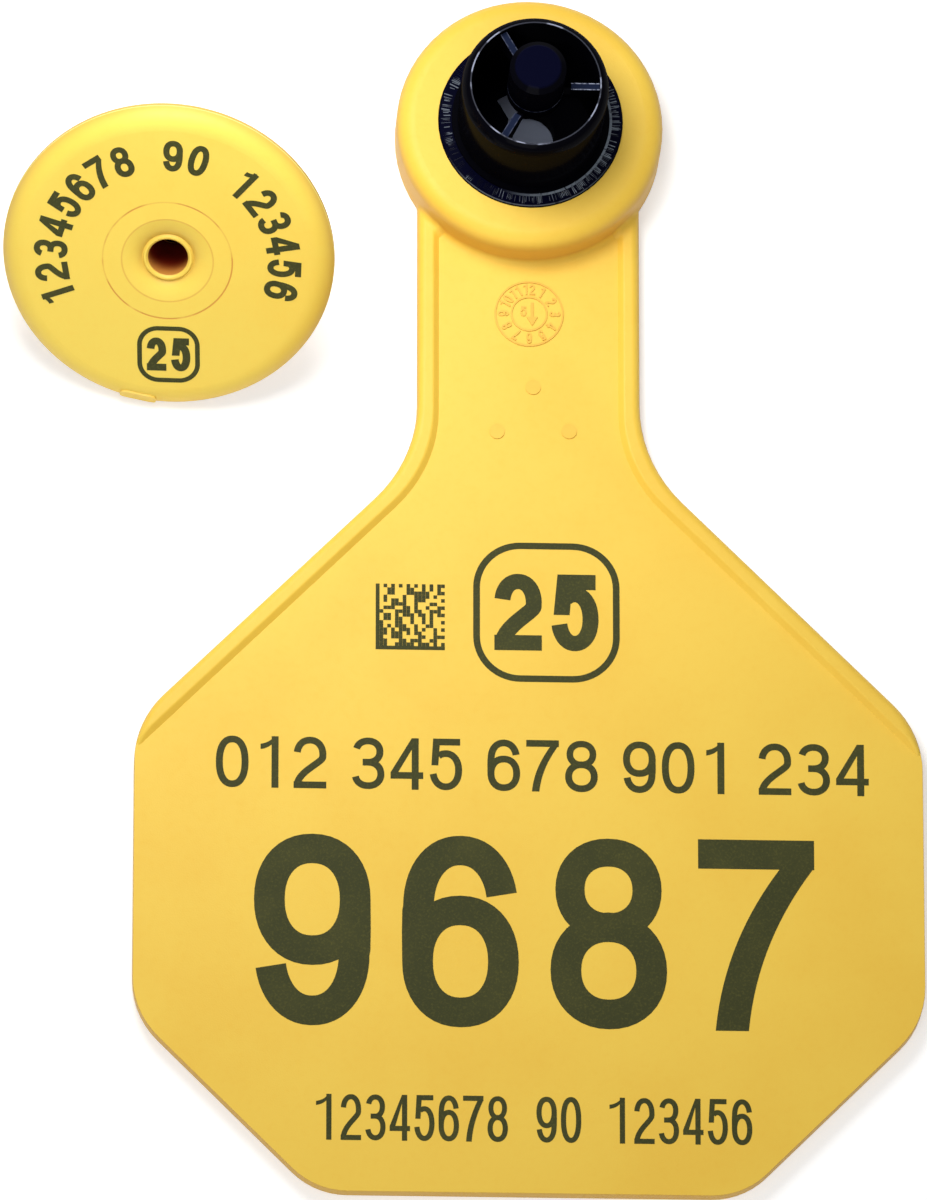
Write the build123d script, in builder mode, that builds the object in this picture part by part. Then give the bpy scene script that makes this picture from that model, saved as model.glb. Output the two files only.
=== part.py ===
"""Two-piece livestock ear tag: a printed panel with a locking cup in its head, and the round
button whose hollow stud goes through the ear and locks in that cup.

The panel lies on its back with +Z up and +Y towards the head. The origin is the centre of the
stud's hole, on the back face. The button lies beside the neck on its edge and its tip.
"""

import os
from math import atan2, cos, degrees, hypot, radians, sin, tan

from build123d import *

# Panel outline, seen from the printed side
panel_width = 76.2
panel_bottom = 107.65
head_radius = 13.05
head_inset = 0.45
neck_inset = 2.2
shoulder_angle = 45.0
shoulder_apex = 22.75
foot_cut = 17.6
foot_cut_angle = 45.0
neck_to_head_radius = 4.0
neck_flare_radius = 14.0
upper_corner_radius = 9.5
lower_corner_radius = 8.5
foot_corner_radius = 7.5

# Panel section: a thin field, a raised bead along the neck and shoulders, a rounded front edge
field_thickness = 1.9
bead_height = 0.5
bead_width = 2.1
bead_slope = 0.55
bead_crest_radius = 0.3
panel_edge_radius = 0.8
panel_back_chamfer = 0.45

# Head boss that holds the cup
boss_top = 6.2
boss_edge_radius = 1.8
boss_foot_radius = 0.7

# Locking cup, hard plastic
flange_radius = 9.0
flange_thickness = 0.9
flange_proud = 0.35
flange_edge_chamfer = 0.15
flange_step_radius = 7.7
flange_step_height = 0.25
cup_radius = 7.16
cup_wall = 0.9
cup_shoulder_top = 15.2
cup_rim_top = 16.6
cup_lip_width = 0.12
sleeve_radius = 6.9
barb_radius = 7.3
barb_length = 1.0
barb_lead = 0.5
barb_base = 2.4
floor_thickness = 2.2
seat_clearance = 0.05

# Bore, and the slots that let the floor spring open for the stud's tip
bore_radius = 2.55
slot_width = 1.7
slot_reach = 5.35
slot_count = 2
slot_bearing = 120.0

# Webs under the rim, and the closed hub that shields the point
web_count = 3
web_thickness = 0.7
web_top_drop = 0.7
web_inner_radius = 3.46
web_depth = 3.2
web_tie_drop = 1.3
web_tie_depth = 0.8
web_sink = 0.3
hub_radius = 2.75
hub_cap_radius = 2.12
hub_cap_height = 0.55
hub_top = 21.2
hub_length = 6.8
hub_wall = 0.75
hub_roof = 0.9

# Button
button_radius = 16.1
button_thickness = 2.1
button_rim_thickness = 0.75
button_shoulder_width = 2.1
button_edge_chamfer = 0.3
dish_radius = 4.45
dish_depth = 0.75
lip_radius = 2.3
lip_height = 0.2

# Stud of the button and its hard tip
stud_clearance = 0.1
stud_root_width = 0.6
stud_neck = 8.7
pin_bore_radius = 1.95
tip_length = 8.3
tip_barb_radius = 3.15
tip_barb_land = 0.7
tip_point_radius = 0.3
tip_socket_radius = 2.15
tip_socket_depth = 3.3
spigot_clearance = 0.03
spigot_length = 3.0
spigot_chamfer = 0.3

# Where the button lies: its middle on the floor plan, and the way it faces
button_x = -35.32
button_y = -16.14
lean_bearing = -98.0
button_turn = 7.4

# How far cuts run past the faces that they open
overrun = 1.0

os.makedirs("parts", exist_ok=True)


def corner_at(sketch, point):
    """The vertex of a flat sketch that lies at a given corner."""
    return sketch.vertices().sort_by_distance(Vector(*point))[0]


def both_sides(sketch, point):
    """That corner and its mirror image."""
    return [corner_at(sketch, (side * point[0], point[1])) for side in (1, -1)]


def turned(plane, angle):
    """That plane, turned about its own normal."""
    return Plane(origin=plane.origin, z_dir=plane.z_dir,
                 x_dir=plane.x_dir.rotate(Axis((0, 0, 0), plane.z_dir), angle))


neck_half = head_radius - neck_inset
panel_half = panel_width / 2
bead_top = field_thickness + bead_height
shoulder_rise = tan(radians(shoulder_angle))
foot_cut_rise = tan(radians(foot_cut_angle))

# Corners of the right half of the outline, from the neck down to the foot
neck_corner = (neck_half, -(neck_half * shoulder_rise + shoulder_apex))
side_top = (panel_half, -(panel_half * shoulder_rise + shoulder_apex))
side_bottom = (panel_half, foot_cut - panel_bottom)
foot_corner = (panel_half - foot_cut / foot_cut_rise, -panel_bottom)

with BuildSketch() as outline:
    with BuildLine():
        Polyline((0, 0), (neck_half, 0), neck_corner, side_top, side_bottom, foot_corner,
                 (0, -panel_bottom))
        mirror(about=Plane.YZ)
    make_face()
    fillet(both_sides(outline, neck_corner), neck_flare_radius)
    fillet(both_sides(outline, side_top), upper_corner_radius)
    fillet(both_sides(outline, side_bottom), lower_corner_radius)
    fillet(both_sides(outline, foot_corner), foot_corner_radius)
    Circle(head_radius - head_inset)
    fillet(both_sides(outline, (neck_half, -head_radius / 2)), neck_to_head_radius)

# The region inside the bead, which runs out over the sides and the foot
field_half = neck_half - bead_width
field_apex = shoulder_apex + bead_width / cos(radians(shoulder_angle))
field_reach = panel_half + foot_cut
field_corner = (field_half, -(field_half * shoulder_rise + field_apex))

with BuildSketch(Plane.XY.offset(field_thickness)) as field:
    with BuildLine():
        Polyline((0, 0), (field_half, 0), field_corner,
                 (field_reach, -(field_reach * shoulder_rise + field_apex)),
                 (field_reach, -panel_bottom - field_reach),
                 (0, -panel_bottom - field_reach))
        mirror(about=Plane.YZ)
    make_face()
    fillet(both_sides(field, field_corner), neck_flare_radius)

# Thin plate of the whole outline
with BuildPart() as field_plate:
    add(outline.sketch)
    extrude(amount=field_thickness)
    fillet(field_plate.faces().sort_by(Axis.Z)[-1].edges(), panel_edge_radius)

# Round boss of the head, a little wider than the outline there
with BuildPart() as head_boss:
    with BuildSketch():
        Circle(head_radius)
    extrude(amount=boss_top)
    fillet(head_boss.faces().sort_by(Axis.Z)[-1].edges(), boss_edge_radius)

# The panel, neck and head are one moulding
with BuildPart() as tag_panel:
    add(outline.sketch)
    extrude(amount=bead_top)
    fillet(tag_panel.faces().sort_by(Axis.Z)[-1].edges(), panel_edge_radius)
    add(field.sketch)
    extrude(amount=bead_height, taper=-degrees(atan2(bead_slope, bead_height)),
            mode=Mode.SUBTRACT)
    crests = tag_panel.edges(Select.LAST).filter_by_position(Axis.Z, bead_top, bead_top)
    fillet(crests, bead_crest_radius)
    add(field_plate.part)
    add(head_boss.part)

    # Hollow foot of the boss, where it meets the neck and its beads
    foot = tag_panel.edges().filter_by(
        lambda edge: abs(hypot(*tuple(edge @ 0.5)[:2]) - head_radius) < seat_clearance)
    foot = foot.filter_by(
        lambda edge: seat_clearance < (edge @ 0.5).Z < bead_top + seat_clearance)
    fillet(foot, boss_foot_radius)
    chamfer(tag_panel.faces().sort_by(Axis.Z)[0].edges(), panel_back_chamfer)

    # Stepped hole for the cup: seat of the flange, sleeve and the groove round its barb
    seat_floor = boss_top + flange_proud - flange_thickness
    with BuildSketch(Plane.XZ):
        with BuildLine():
            hole = sleeve_radius + seat_clearance
            groove = barb_radius + seat_clearance
            groove_base = barb_base - seat_clearance
            groove_top = barb_base + barb_length + seat_clearance
            Polyline((0, -overrun), (hole, -overrun), (hole, groove_base - barb_lead),
                     (groove, groove_base), (groove, groove_top), (hole, groove_top),
                     (hole, seat_floor),
                     (flange_radius + seat_clearance, seat_floor),
                     (flange_radius + seat_clearance, boss_top + overrun),
                     (0, boss_top + overrun), close=True)
        make_face()
    revolve(axis=Axis.Z, mode=Mode.SUBTRACT)
tag_panel.part.label = "tag_panel"
export_step(tag_panel.part, "parts/tag_panel.step")

# The cup is turned about the stud's axis, then webbed and slotted
cup_inner = cup_radius - cup_wall
flange_top = boss_top + flange_proud
flange_step_top = flange_top + flange_step_height
lip_outer = cup_inner + cup_lip_width

# One web: a raised fin at the wall, and a thin tie from it to the hub
hub_bottom = hub_top - hub_length
web_top = cup_rim_top - web_top_drop
tie_top = web_top - web_tie_drop
tie_bottom = tie_top - web_tie_depth
with BuildPart() as web:
    with BuildSketch(Plane.XZ.offset(-web_thickness / 2)):
        with BuildLine():
            Polyline((web_inner_radius, web_top), (cup_inner + web_sink, web_top),
                     (cup_inner + web_sink, web_top - web_depth),
                     (cup_inner, web_top - web_depth), (web_inner_radius, tie_bottom),
                     (hub_radius - hub_wall / 2, tie_bottom),
                     (hub_radius - hub_wall / 2, tie_top), (web_inner_radius, tie_top),
                     close=True)
        make_face()
    extrude(amount=web_thickness)

with BuildPart() as locking_cup:
    with BuildSketch(Plane.XZ):
        with BuildLine():
            Polyline((bore_radius, 0), (sleeve_radius, 0),
                     (sleeve_radius, barb_base - barb_lead), (barb_radius, barb_base),
                     (barb_radius, barb_base + barb_length),
                     (sleeve_radius, barb_base + barb_length),
                     (sleeve_radius, seat_floor), (flange_radius, seat_floor),
                     (flange_radius, flange_top), (flange_step_radius, flange_top),
                     (flange_step_radius, flange_step_top), (cup_radius, flange_step_top),
                     (cup_radius, cup_shoulder_top))
            TangentArc((cup_radius, cup_shoulder_top), (lip_outer, cup_rim_top), tangent=(0, 1))
            Polyline((lip_outer, cup_rim_top), (cup_inner, cup_rim_top),
                     (cup_inner, floor_thickness), (bore_radius, floor_thickness),
                     (bore_radius, 0))
        make_face()
    revolve(axis=Axis.Z)
    rims = locking_cup.edges().filter_by(GeomType.CIRCLE)
    rims = rims.filter_by_position(Axis.Z, flange_top, flange_top)
    chamfer(rims.sort_by(SortBy.RADIUS)[-1], flange_edge_chamfer)

    # Closed hub over the bore, open below
    with BuildSketch(Plane.XZ):
        with BuildLine():
            Polyline((hub_radius - hub_wall, hub_bottom), (hub_radius, hub_bottom),
                     (hub_radius, hub_top - hub_cap_height), (hub_cap_radius, hub_top),
                     (0, hub_top), (0, hub_top - hub_roof),
                     (hub_radius - hub_wall, hub_top - hub_roof), close=True)
        make_face()
    revolve(axis=Axis.Z)
    with PolarLocations(0, web_count):
        add(web.part)
    with BuildSketch(Plane.XY.offset(-overrun)):
        with PolarLocations(slot_reach / 2, slot_count, start_angle=slot_bearing):
            Rectangle(slot_reach, slot_width)
    extrude(amount=overrun + floor_thickness, mode=Mode.SUBTRACT)
locking_cup.part.label = "locking_cup"
export_step(locking_cup.part, "parts/locking_cup.step")

# The button leans on the low corner of its rim and on the blunt point of its tip
stud_reach = stud_neck + tip_length
lean = atan2(stud_reach + button_edge_chamfer, button_radius - tip_point_radius)
lean_height = stud_reach * cos(lean) + tip_point_radius * sin(lean)
bearing = radians(lean_bearing)
face_normal = Vector(sin(lean) * cos(bearing), sin(lean) * sin(bearing), cos(lean))
level_axis = Vector(-sin(bearing), cos(bearing), 0)
button_plane = turned(Plane(origin=(button_x, button_y, lean_height), x_dir=level_axis,
                            z_dir=face_normal), button_turn)
section_plane = Plane(origin=button_plane.origin, x_dir=button_plane.x_dir,
                      z_dir=-button_plane.y_dir)
button_axis = Axis(button_plane.origin, button_plane.z_dir)

# Button with its hollow stud, turned about the stud's axis
shoulder_height = button_thickness - button_rim_thickness
shoulder_radius = (button_shoulder_width ** 2 + shoulder_height ** 2) / (2 * shoulder_height)
stud_radius = bore_radius - stud_clearance
dish_floor = button_thickness - dish_depth
socket_top = tip_socket_depth - stud_neck
with BuildPart() as male_button:
    with BuildSketch(section_plane):
        with BuildLine():
            Polyline((tip_socket_radius, -stud_neck), (stud_radius, -stud_neck),
                     (stud_radius, -stud_root_width), (stud_radius + stud_root_width, 0),
                     (button_radius - button_edge_chamfer, 0),
                     (button_radius, button_edge_chamfer), (button_radius, button_rim_thickness))
            RadiusArc((button_radius, button_rim_thickness),
                      (button_radius - button_shoulder_width, button_thickness),
                      -shoulder_radius)
            Polyline((button_radius - button_shoulder_width, button_thickness),
                     (dish_radius, button_thickness), (lip_radius + lip_height, dish_floor),
                     (lip_radius, dish_floor + lip_height),
                     (pin_bore_radius + lip_height, dish_floor + lip_height),
                     (pin_bore_radius, dish_floor), (pin_bore_radius, socket_top),
                     (tip_socket_radius, socket_top), (tip_socket_radius, -stud_neck))
        make_face()
    revolve(axis=button_axis)
male_button.part.label = "male_button"
export_step(male_button.part, "parts/male_button.step")

# Hard tip: a spigot inside the stud, a barbed shoulder and a slim point
spigot_radius = tip_socket_radius - spigot_clearance
spigot_top = spigot_length - stud_neck
with BuildPart() as stud_tip:
    with BuildSketch(section_plane):
        with BuildLine():
            Polyline((0, spigot_top),
                     (spigot_radius - spigot_chamfer, spigot_top),
                     (spigot_radius, spigot_top - spigot_chamfer),
                     (spigot_radius, -stud_neck), (tip_barb_radius, -stud_neck),
                     (tip_barb_radius, -stud_neck - tip_barb_land),
                     (tip_point_radius, -stud_reach), (0, -stud_reach), close=True)
        make_face()
    revolve(axis=button_axis)
stud_tip.part.label = "stud_tip"
export_step(stud_tip.part, "parts/stud_tip.step")
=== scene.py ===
# %% [markdown]
# # A two-piece livestock ear tag
#
# A livestock tag comes in two halves. The panel is a flat yellow moulding with a number on it,
# and its round head holds a hard black cup. The button is a yellow disc with a hollow stud.
# The stud is pushed through the ear and locks in the cup. Here the halves lie side by side.
#
# The solids come ready-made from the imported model, in metres, with +Z up. This lesson gives them
# their finishes and adds what is too thin for the solids: print, moulded marks and tool marks.

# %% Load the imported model
import math

import bmesh
import bpy
from mathutils import Matrix, Vector, geometry


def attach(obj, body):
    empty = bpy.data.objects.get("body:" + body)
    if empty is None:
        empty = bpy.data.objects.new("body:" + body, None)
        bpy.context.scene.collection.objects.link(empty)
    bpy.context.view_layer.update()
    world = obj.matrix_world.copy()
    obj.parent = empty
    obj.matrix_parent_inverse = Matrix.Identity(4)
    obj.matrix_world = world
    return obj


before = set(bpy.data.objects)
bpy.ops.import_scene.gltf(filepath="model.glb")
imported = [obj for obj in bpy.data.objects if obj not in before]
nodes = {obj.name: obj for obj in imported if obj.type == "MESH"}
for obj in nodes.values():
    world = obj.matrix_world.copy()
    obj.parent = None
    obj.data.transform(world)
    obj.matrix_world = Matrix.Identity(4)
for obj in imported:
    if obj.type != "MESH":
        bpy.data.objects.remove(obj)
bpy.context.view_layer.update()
MM = 0.001
print("nodes:", ", ".join(sorted(nodes)))

# %% [markdown]
# ## The camera
#
# The tag is seen from high above and a little from its foot, through a long lens. The round
# flange of the cup and the parallel sides of the panel fix where the eye was. The sensor is
# fitted by height, so the picture keeps its framing whatever size the default render has.

# %% Camera
VIEW_CENTRE = Vector((-6.25132, -47.41174, 0.0)) * MM
VIEW_TOWARDS = Vector((-0.0446207, -0.3174928, 0.9472103))
VIEW_UP = Vector((-0.0151211, 0.9482607, 0.3171326))
VIEW_DISTANCE = 1.230
LENS_LENGTH = 380.36
SENSOR_HEIGHT = 36.0

camera_data = bpy.data.cameras.new("camera")
camera_data.sensor_fit = "VERTICAL"
camera_data.sensor_height = SENSOR_HEIGHT
camera_data.lens = LENS_LENGTH
camera_data.clip_start = 0.05
camera_data.clip_end = 20.0
camera = bpy.data.objects.new("camera", camera_data)
view_right = VIEW_UP.cross(VIEW_TOWARDS)
camera.matrix_world = Matrix.Translation(VIEW_CENTRE + VIEW_TOWARDS * VIEW_DISTANCE) @ Matrix(
    (view_right, VIEW_UP, VIEW_TOWARDS)).transposed().to_4x4()
bpy.context.scene.collection.objects.link(camera)
bpy.context.scene.camera = camera
bpy.context.scene.view_settings.view_transform = "Standard"
print("camera at", [round(value, 3) for value in camera.location])

# %% [markdown]
# ## Maths in a shader, written as Python
#
# A material is a graph of nodes, and a graph with much arithmetic is hard to read. `Wire`
# wraps one output socket, and its operators add the Math nodes, so a mask can be written as an
# expression. `Finish` holds one material and adds any other node by its type. A mask is 1 where
# a look shows and 0 where it doesn't, and most are ramps: over a height, over the distance from
# an axis, or between two levels of a noise. A named pair of values is where a ramp starts and
# where it ends.

# %% Small classes for materials
class Wire:
    """One output socket, with arithmetic that adds Math nodes."""

    def __init__(self, finish, socket):
        self.finish = finish
        self.socket = socket

    def math(self, operation, *others):
        inputs = {index: value for index, value in enumerate((self, *others))}
        return self.finish.add("ShaderNodeMath", {"operation": operation}, inputs)

    def __add__(self, other):
        return self.math("ADD", other)

    __radd__ = __add__

    def __sub__(self, other):
        return self.math("SUBTRACT", other)

    def __rsub__(self, other):
        return self.math("MULTIPLY", -1.0) + other

    def __mul__(self, other):
        return self.math("MULTIPLY", other)

    __rmul__ = __mul__

    def __truediv__(self, other):
        return self.math("DIVIDE", other)

    def __pow__(self, other):
        return self.math("POWER", other)

    def __abs__(self):
        return self.math("ABSOLUTE")

    def most(self, other):
        return self.math("MAXIMUM", other)

    def least(self, other):
        return self.math("MINIMUM", other)

    def span(self, low, high):
        """From 0 to 1, carried over to from low to high."""
        return low + (high - low) * self

    def ramp(self, low, high):
        """0 at low, 1 at high, and smooth between them."""
        inputs = {"Value": self, "From Min": low, "From Max": high}
        settings = {"interpolation_type": "SMOOTHSTEP", "clamp": True}
        return self.finish.add("ShaderNodeMapRange", settings, inputs)

    def fall(self, low, high):
        """1 at low, 0 at high, and smooth between them."""
        return 1 - self.ramp(low, high)

    def near(self, level, inner, outer):
        """1 within the inner distance of a level, and 0 from the outer one on."""
        return abs(self - level).fall(inner, outer)


def add_node(tree, kind, settings, inputs):
    """A new node, with its settings set and each input wired or given its value."""
    node = tree.nodes.new(kind)
    for name, value in (settings or {}).items():
        setattr(node, name, value)
    for name, value in (inputs or {}).items():
        if isinstance(value, Wire):
            value = value.socket
        if isinstance(value, bpy.types.NodeSocket):
            tree.links.new(value, node.inputs[name])
        else:
            node.inputs[name].default_value = value
    return node


class Finish:
    """A material, with one method that adds a node, sets it and wires it."""

    def __init__(self, name):
        self.material = bpy.data.materials.new(name)
        self.material.use_nodes = True
        self.tree = self.material.node_tree
        self.tree.nodes.clear()

    def add(self, kind, settings=None, inputs=None, output=0):
        node = add_node(self.tree, kind, settings, inputs)
        return Wire(self, node.outputs[output]) if node.outputs else None

    def place(self):
        """Where a point is on the object, in metres."""
        return self.add("ShaderNodeTexCoord", output="Object")

    def noise(self, vector, size, detail, roughness):
        """Soft noise from 0 to 1, whose largest lumps have about the given size."""
        inputs = {"Vector": vector, "Scale": 1 / size, "Detail": detail, "Roughness": roughness}
        return self.add("ShaderNodeTexNoise", None, inputs)

    def axes(self, vector):
        """The three parts of a vector."""
        return [self.add("ShaderNodeSeparateXYZ", None, {0: vector}, output=index)
                for index in range(3)]

    def facing(self, direction):
        """How far the surface faces along a direction of the object: 1 where it does fully."""
        normal = self.add("ShaderNodeNewGeometry", output="Normal")
        inputs = {0: normal, 1: tuple(direction)}
        return self.add("ShaderNodeVectorMath", {"operation": "DOT_PRODUCT"}, inputs,
                        output="Value")

    def blend(self, factor, first, second):
        """One colour turning into another."""
        settings = {"data_type": "RGBA", "clamp_factor": True}
        inputs = {0: factor, 6: first, 7: second}
        return self.add("ShaderNodeMix", settings, inputs, output=2)

    def bump(self, height, distance, normal=None):
        """A normal that a height from 0 to 1, over a distance, tilts."""
        inputs = {"Height": height, "Distance": distance, "Strength": 1.0}
        if normal is not None:
            inputs["Normal"] = normal
        return self.add("ShaderNodeBump", None, inputs)

    def surface(self, **inputs):
        """Ends the material in one Principled shader."""
        shader = self.add("ShaderNodeBsdfPrincipled", None,
                          {name.replace("_", " "): value for name, value in inputs.items()})
        self.add("ShaderNodeOutputMaterial", None, {"Surface": shader})
        return self.material


def from_axis(x, y):
    """How far a point lies from an axis, from its two distances across it."""
    return (x ** 2.0 + y ** 2.0) ** 0.5


def colour(red, green, blue):
    """A colour given in 0 to 255, as the linear values that a shader takes."""
    def linear(value):
        share = value / 255
        return share / 12.92 if share <= 0.04045 else ((share + 0.055) / 1.055) ** 2.4

    return (linear(red), linear(green), linear(blue), 1.0)


# %% [markdown]
# ## The floor and the light
#
# The tag lies on a plain pale floor. The floor is a diffuse white, with some brightness of its
# own for the camera and for reflections, so that it reads as white while the soft shadow stays.
# Right under the cup, where it is seen through the slots, it is painted a dim blue-grey without
# its own brightness: painted shade. A small soft lamp hangs close over the head, to its left, so
# the light falls off towards the foot. A wide lamp out in front fills in, low down, and a pale
# sky does the rest.

# %% Floor, lamps and sky
FLOOR_SIZE = 6.0
FLOOR_GLOW = 0.42
FLOOR_WHITE = (0.93, 0.93, 0.93, 1.0)
FLOOR_SHADE = (0.26, 0.29, 0.38, 1.0)
DIM_BAND = (8 * MM, 12 * MM)
WHITE = (1.0, 1.0, 1.0, 1.0)
SKY_STRENGTH = 0.31
KEY_LAMP = {"place": Vector((-0.038, 0.017, 0.118)), "size": 0.07, "watts": 0.141}
FRONT_LAMP = {"place": Vector((-0.10, -0.40, 0.30)), "size": 0.3, "watts": 0.52}

floor_finish = Finish("pale_floor")
camera_rays = floor_finish.add("ShaderNodeLightPath", output="Is Camera Ray")
glossy_rays = floor_finish.add("ShaderNodeLightPath", output="Is Glossy Ray")
floor_place = floor_finish.axes(floor_finish.place())
# Painted shade on the floor under the cup.
past_cup = from_axis(floor_place[0], floor_place[1]).ramp(*DIM_BAND)
paint = floor_finish.add("ShaderNodeBsdfDiffuse", None, {
    "Color": floor_finish.blend(past_cup, FLOOR_SHADE, FLOOR_WHITE)})
glow = floor_finish.add("ShaderNodeEmission", None, {
    "Color": WHITE, "Strength": (camera_rays + glossy_rays) * FLOOR_GLOW * past_cup})
both = floor_finish.add("ShaderNodeAddShader", None, {0: paint, 1: glow})
floor_finish.add("ShaderNodeOutputMaterial", None, {"Surface": both})

half_floor = FLOOR_SIZE / 2
floor_corners = [(x * half_floor, y * half_floor, 0)
                 for x, y in ((-1, -1), (1, -1), (1, 1), (-1, 1))]
floor_mesh = bpy.data.meshes.new("floor")
floor_mesh.from_pydata(floor_corners, [], [(0, 1, 2, 3)])
floor_mesh.materials.append(floor_finish.material)
floor = bpy.data.objects.new("floor", floor_mesh)
bpy.context.scene.collection.objects.link(floor)

sky = bpy.data.worlds.new("sky")
sky.use_nodes = True
sky_inputs = sky.node_tree.nodes["Background"].inputs
sky_inputs["Color"].default_value = WHITE
sky_inputs["Strength"].default_value = SKY_STRENGTH
bpy.context.scene.world = sky


def soft_lamp(name, place, size, watts):
    """A square lamp that faces the middle of the view."""
    data = bpy.data.lights.new(name, "AREA")
    data.shape = "SQUARE"
    data.size = size
    data.energy = watts
    lamp = bpy.data.objects.new(name, data)
    aim = (VIEW_CENTRE - place).to_track_quat("-Z", "Y")
    lamp.matrix_world = Matrix.Translation(place) @ aim.to_matrix().to_4x4()
    lamp.visible_camera = False
    bpy.context.scene.collection.objects.link(lamp)


soft_lamp("key_lamp", **KEY_LAMP)
soft_lamp("front_lamp", **FRONT_LAMP)

# %% [markdown]
# ## Where the button lies
#
# The button leans on its rim and on the tip of its stud. Its marks and its print are laid out on
# the flat disc first, and this frame carries them over: x and y lie in the disc, z points out of
# its face, and the origin is the middle of the disc's back.

# %% The button's face
BUTTON_TURN = math.radians(7.4)
BUTTON_BEARING = math.radians(-98.0)
BUTTON_LEAN = math.radians(47.594710)
BUTTON_ORIGIN = Vector((-35.32, -16.14, 11.685817))
BUTTON_THICKNESS = 2.1

level_axis = Vector((-math.sin(BUTTON_BEARING), math.cos(BUTTON_BEARING), 0))
face_normal = Vector((math.sin(BUTTON_LEAN) * math.cos(BUTTON_BEARING),
                      math.sin(BUTTON_LEAN) * math.sin(BUTTON_BEARING), math.cos(BUTTON_LEAN)))
face_x = Matrix.Rotation(BUTTON_TURN, 3, face_normal) @ level_axis
face_y = face_normal.cross(face_x)
button_axes = Matrix((face_x, face_y, face_normal)).transposed().to_4x4()
button_frame = Matrix.Translation(BUTTON_ORIGIN * MM) @ button_axes
button_face = button_frame @ Matrix.Translation((0, 0, BUTTON_THICKNESS * MM))

# %% [markdown]
# ## Flexible yellow plastic
#
# Both halves are moulded in a soft polyurethane. Its skin is satin: the mould was lightly
# blasted, so there is a fine even grain and no clear reflection. The colour is almost the same
# all over, a shade deeper in slow clouds where the pigment flowed. Where a wall stands upright
# it is painted browner: this is painted shade, deeper the less the surface faces up.

# %% Yellow plastic
YELLOW = colour(255, 213, 79)
YELLOW_DEEP = colour(252, 205, 71)
# The button's yellow is a lighter copy of the panel's: painted light, for the light that the
# leaning button misses.
BUTTON_LIT_YELLOW = colour(255, 222, 92)
BUTTON_LIT_DEEP = colour(255, 215, 84)
# The brown of painted shade, put on upright walls and in the button's dish.
PAINTED_SHADE_YELLOW = colour(206, 152, 70)
WALL_SHADE_SHARE = 0.6
WALL_SHADE_FACING = (0.1, 0.85)
CLOUD_SIZE = 14 * MM
CLOUD_LEVELS = (0.35, 0.7)
CLOUD_SHARE = 0.75
SPECK_SIZE = 0.7 * MM
SPECK_LEVELS = (0.45, 0.75)
GRAIN_PITCH = 0.16 * MM
GRAIN_DEPTH = 0.012 * MM
SATIN_ROUGHNESS = (0.46, 0.56)
YELLOW_SPECULAR = 0.4


def yellow_skin(finish, place, light, deep, up):
    """The tint, painted shade on upright walls included, and the roughness and grain that both
    halves share.
    """
    clouds = finish.noise(place, CLOUD_SIZE, detail=4.0, roughness=0.55).ramp(*CLOUD_LEVELS)
    specks = finish.noise(place, SPECK_SIZE, detail=2.0, roughness=0.6)
    grain = finish.noise(place, GRAIN_PITCH, detail=2.0, roughness=0.6)
    pigment = clouds * CLOUD_SHARE + specks.ramp(*SPECK_LEVELS) * (1 - CLOUD_SHARE)
    # Painted shade: the less a surface faces up, the more it turns to the brown.
    wall_shade = up.fall(*WALL_SHADE_FACING) * WALL_SHADE_SHARE
    skin = finish.blend(wall_shade, finish.blend(pigment, light, deep), PAINTED_SHADE_YELLOW)
    return skin, specks.span(*SATIN_ROUGHNESS), grain


def level_plastic(name, light, deep):
    """The yellow plastic of a piece whose face lies level."""
    finish = Finish(name)
    skin, roughness, grain = yellow_skin(
        finish, finish.place(), light, deep, finish.facing((0, 0, 1)))
    return finish.surface(
        Base_Color=skin, Roughness=roughness, Specular_IOR_Level=YELLOW_SPECULAR,
        Normal=finish.bump(grain, GRAIN_DEPTH))


panel_plastic = level_plastic("panel_yellow_plastic", YELLOW, YELLOW_DEEP)

# %% [markdown]
# ## Mould marks on the button
#
# The button's tool has round inserts, and each leaves a hair line where the plastic crept into
# the joint: one round the dish and one outside it, broken where the joint was tight. The rim
# carries one more, where the two halves of the tool met, raised and painted pale as a painted
# highlight. The dish is shaded as a funnel that starts level and grows steep towards the hole,
# and painted shade browns it near the hole's lip. The hole is painted with shade, brown at its
# mouth and deep red further down. All of these are rings about the button's axis, so a Mapping
# node of the Texture type turns the place of a point into the button's own frame first.

# %% Button's plastic
DISH_RADIUS = 4.45 * MM
DISH_WIDTH = 1.95 * MM
DISH_DEPTH = 0.5 * MM
DISH_SHADE_SHARE = 0.5
DISH_SHADE_POWER = 3.0
FUNNEL_POWER = 2.8
LIP_FOOT = (2.4 * MM, 2.6 * MM)
RIM_SHADE = 0.15
FACE_BAND = ((BUTTON_THICKNESS - 0.1) * MM, (BUTTON_THICKNESS - 0.03) * MM)
INSERT_RADIUS = 6.3 * MM
WITNESS_LINE = (0.045 * MM, 0.099 * MM)
WITNESS_TINT = colour(226, 158, 62)
DISH_LINE_SHARE = 0.45
BREAK_SIZE = 3.2 * MM
BREAK_LEVELS = (0.4, 0.58)
BREAK_SHARES = (0.3, 1.0)
FLASH_HEIGHT = 0.75 * MM
FLASH_LINE = (0.04 * MM, 0.09 * MM)
FLASH_BAND = (15.9 * MM, 16.0 * MM)
FLASH_HIGHLIGHT = colour(255, 240, 140)
FLASH_HIGHLIGHT_SHARE = 0.8
LINE_RELIEF = 0.03 * MM
WITNESS_RELIEF_SHARE = 0.5
HOLE_EDGE = (1.95 * MM, 2.01 * MM)
HOLE_TOP = (1.2 * MM, 1.5 * MM)
HOLE_FADE = (-1.5 * MM, 1.3 * MM)
MOUTH_SHADE = colour(206, 140, 62)
HOLE_SHADE = colour(150, 44, 18)

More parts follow.
